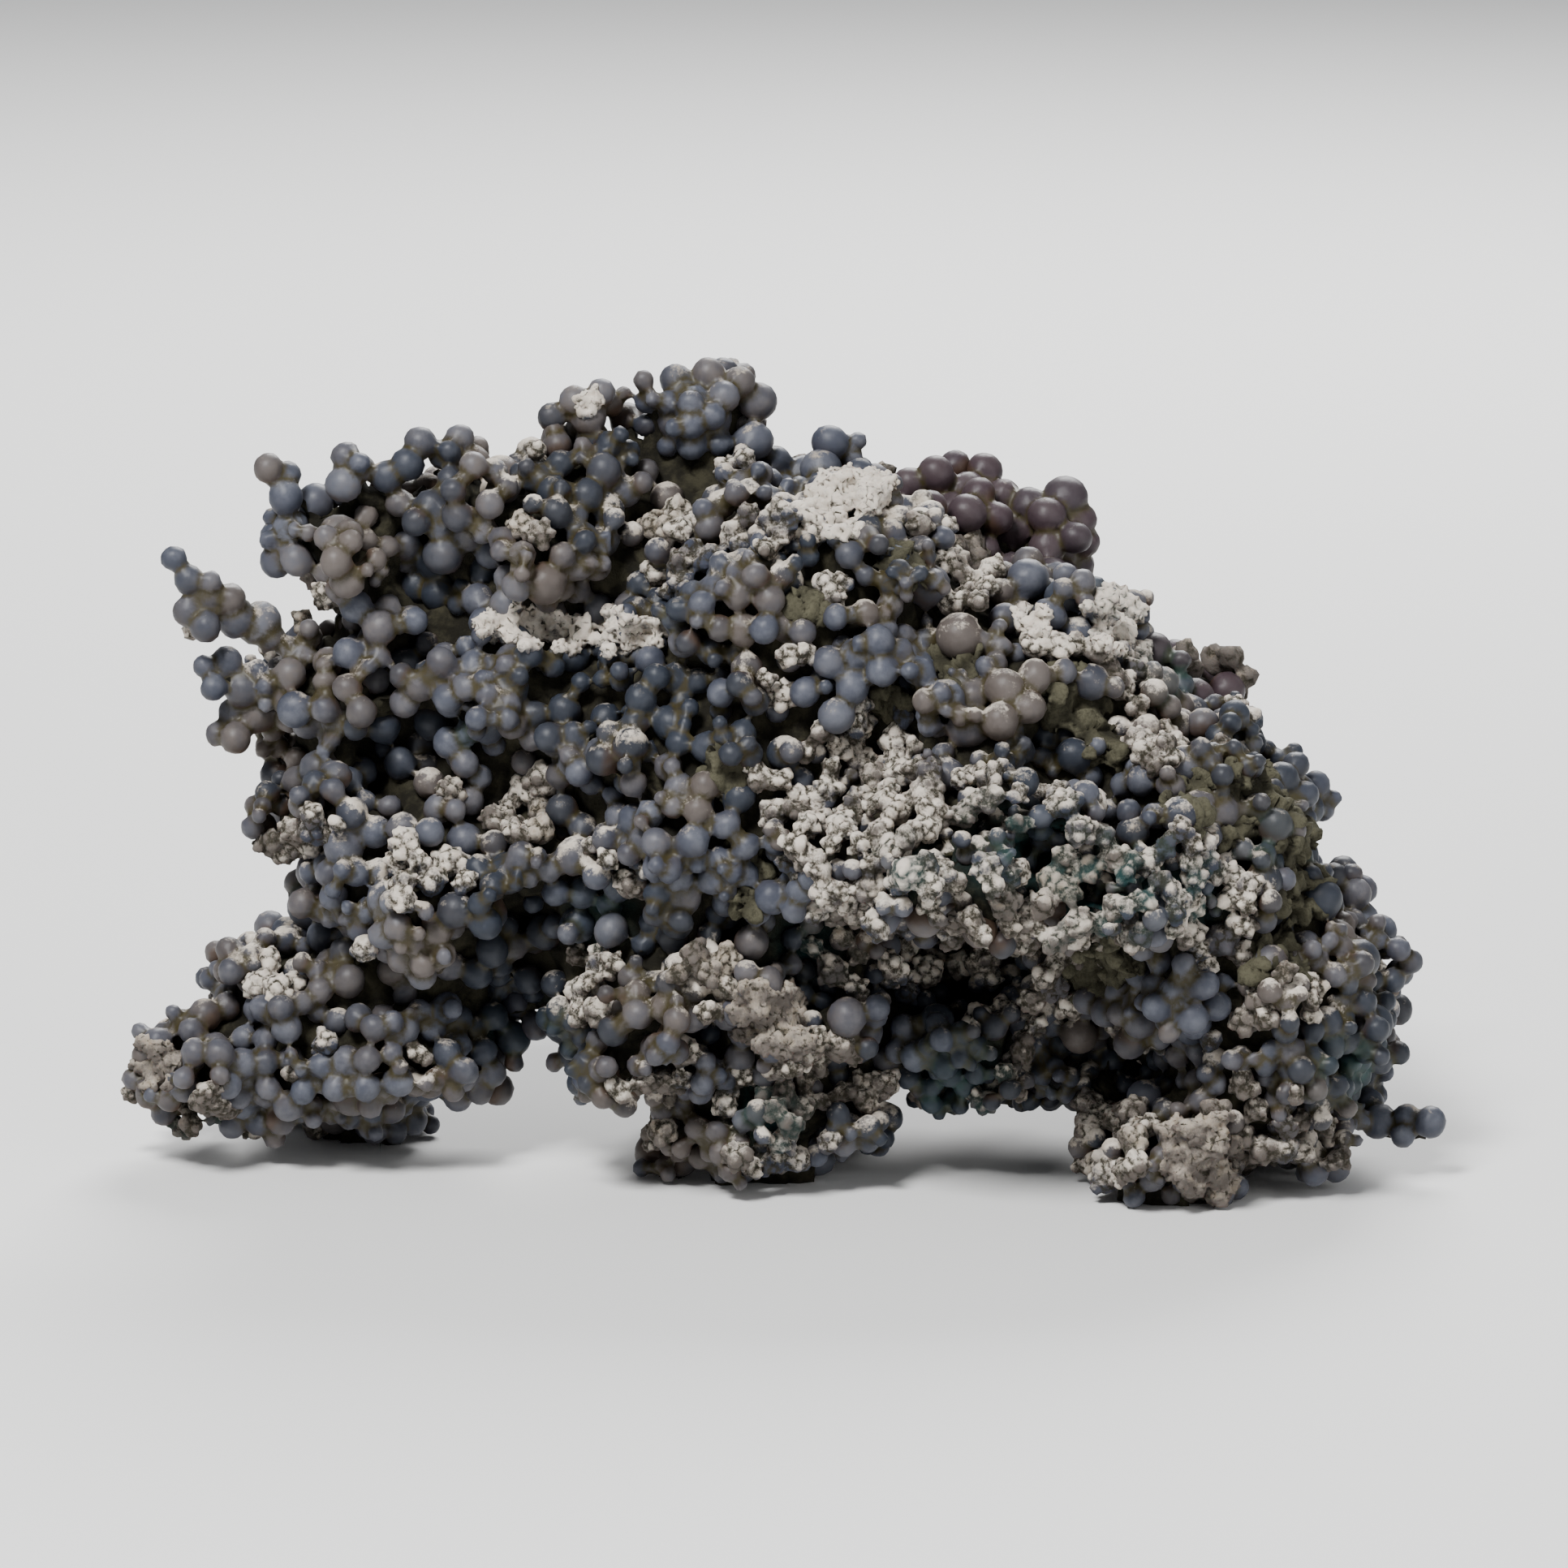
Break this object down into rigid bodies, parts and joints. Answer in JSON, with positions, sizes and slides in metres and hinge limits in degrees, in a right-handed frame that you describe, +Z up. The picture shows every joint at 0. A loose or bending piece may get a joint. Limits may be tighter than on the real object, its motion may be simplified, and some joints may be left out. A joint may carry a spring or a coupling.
{
  "type": "botryoidal chalcedony specimen",
  "caption": "Loose mineral specimen of grape-like chalcedony balls grown together into an arched, wing-shaped mass that stands on its own worn flat feet; for display or set dressing.",
  "frame": {"origin": "middle of the bounding box's base, at the height of the flat feet", "axes": "+Z up, X along the specimen's length with the pointed leg towards -X, -Y towards the side that is seen from the front"},
  "size_m": [0.13, 0.0642, 0.0785],
  "materials": {
    "chalcedony": "satin"
  },
  "bodies": {
    "root": {"chalcedony_cluster": "chalcedony"}
  },
  "joints": []
}
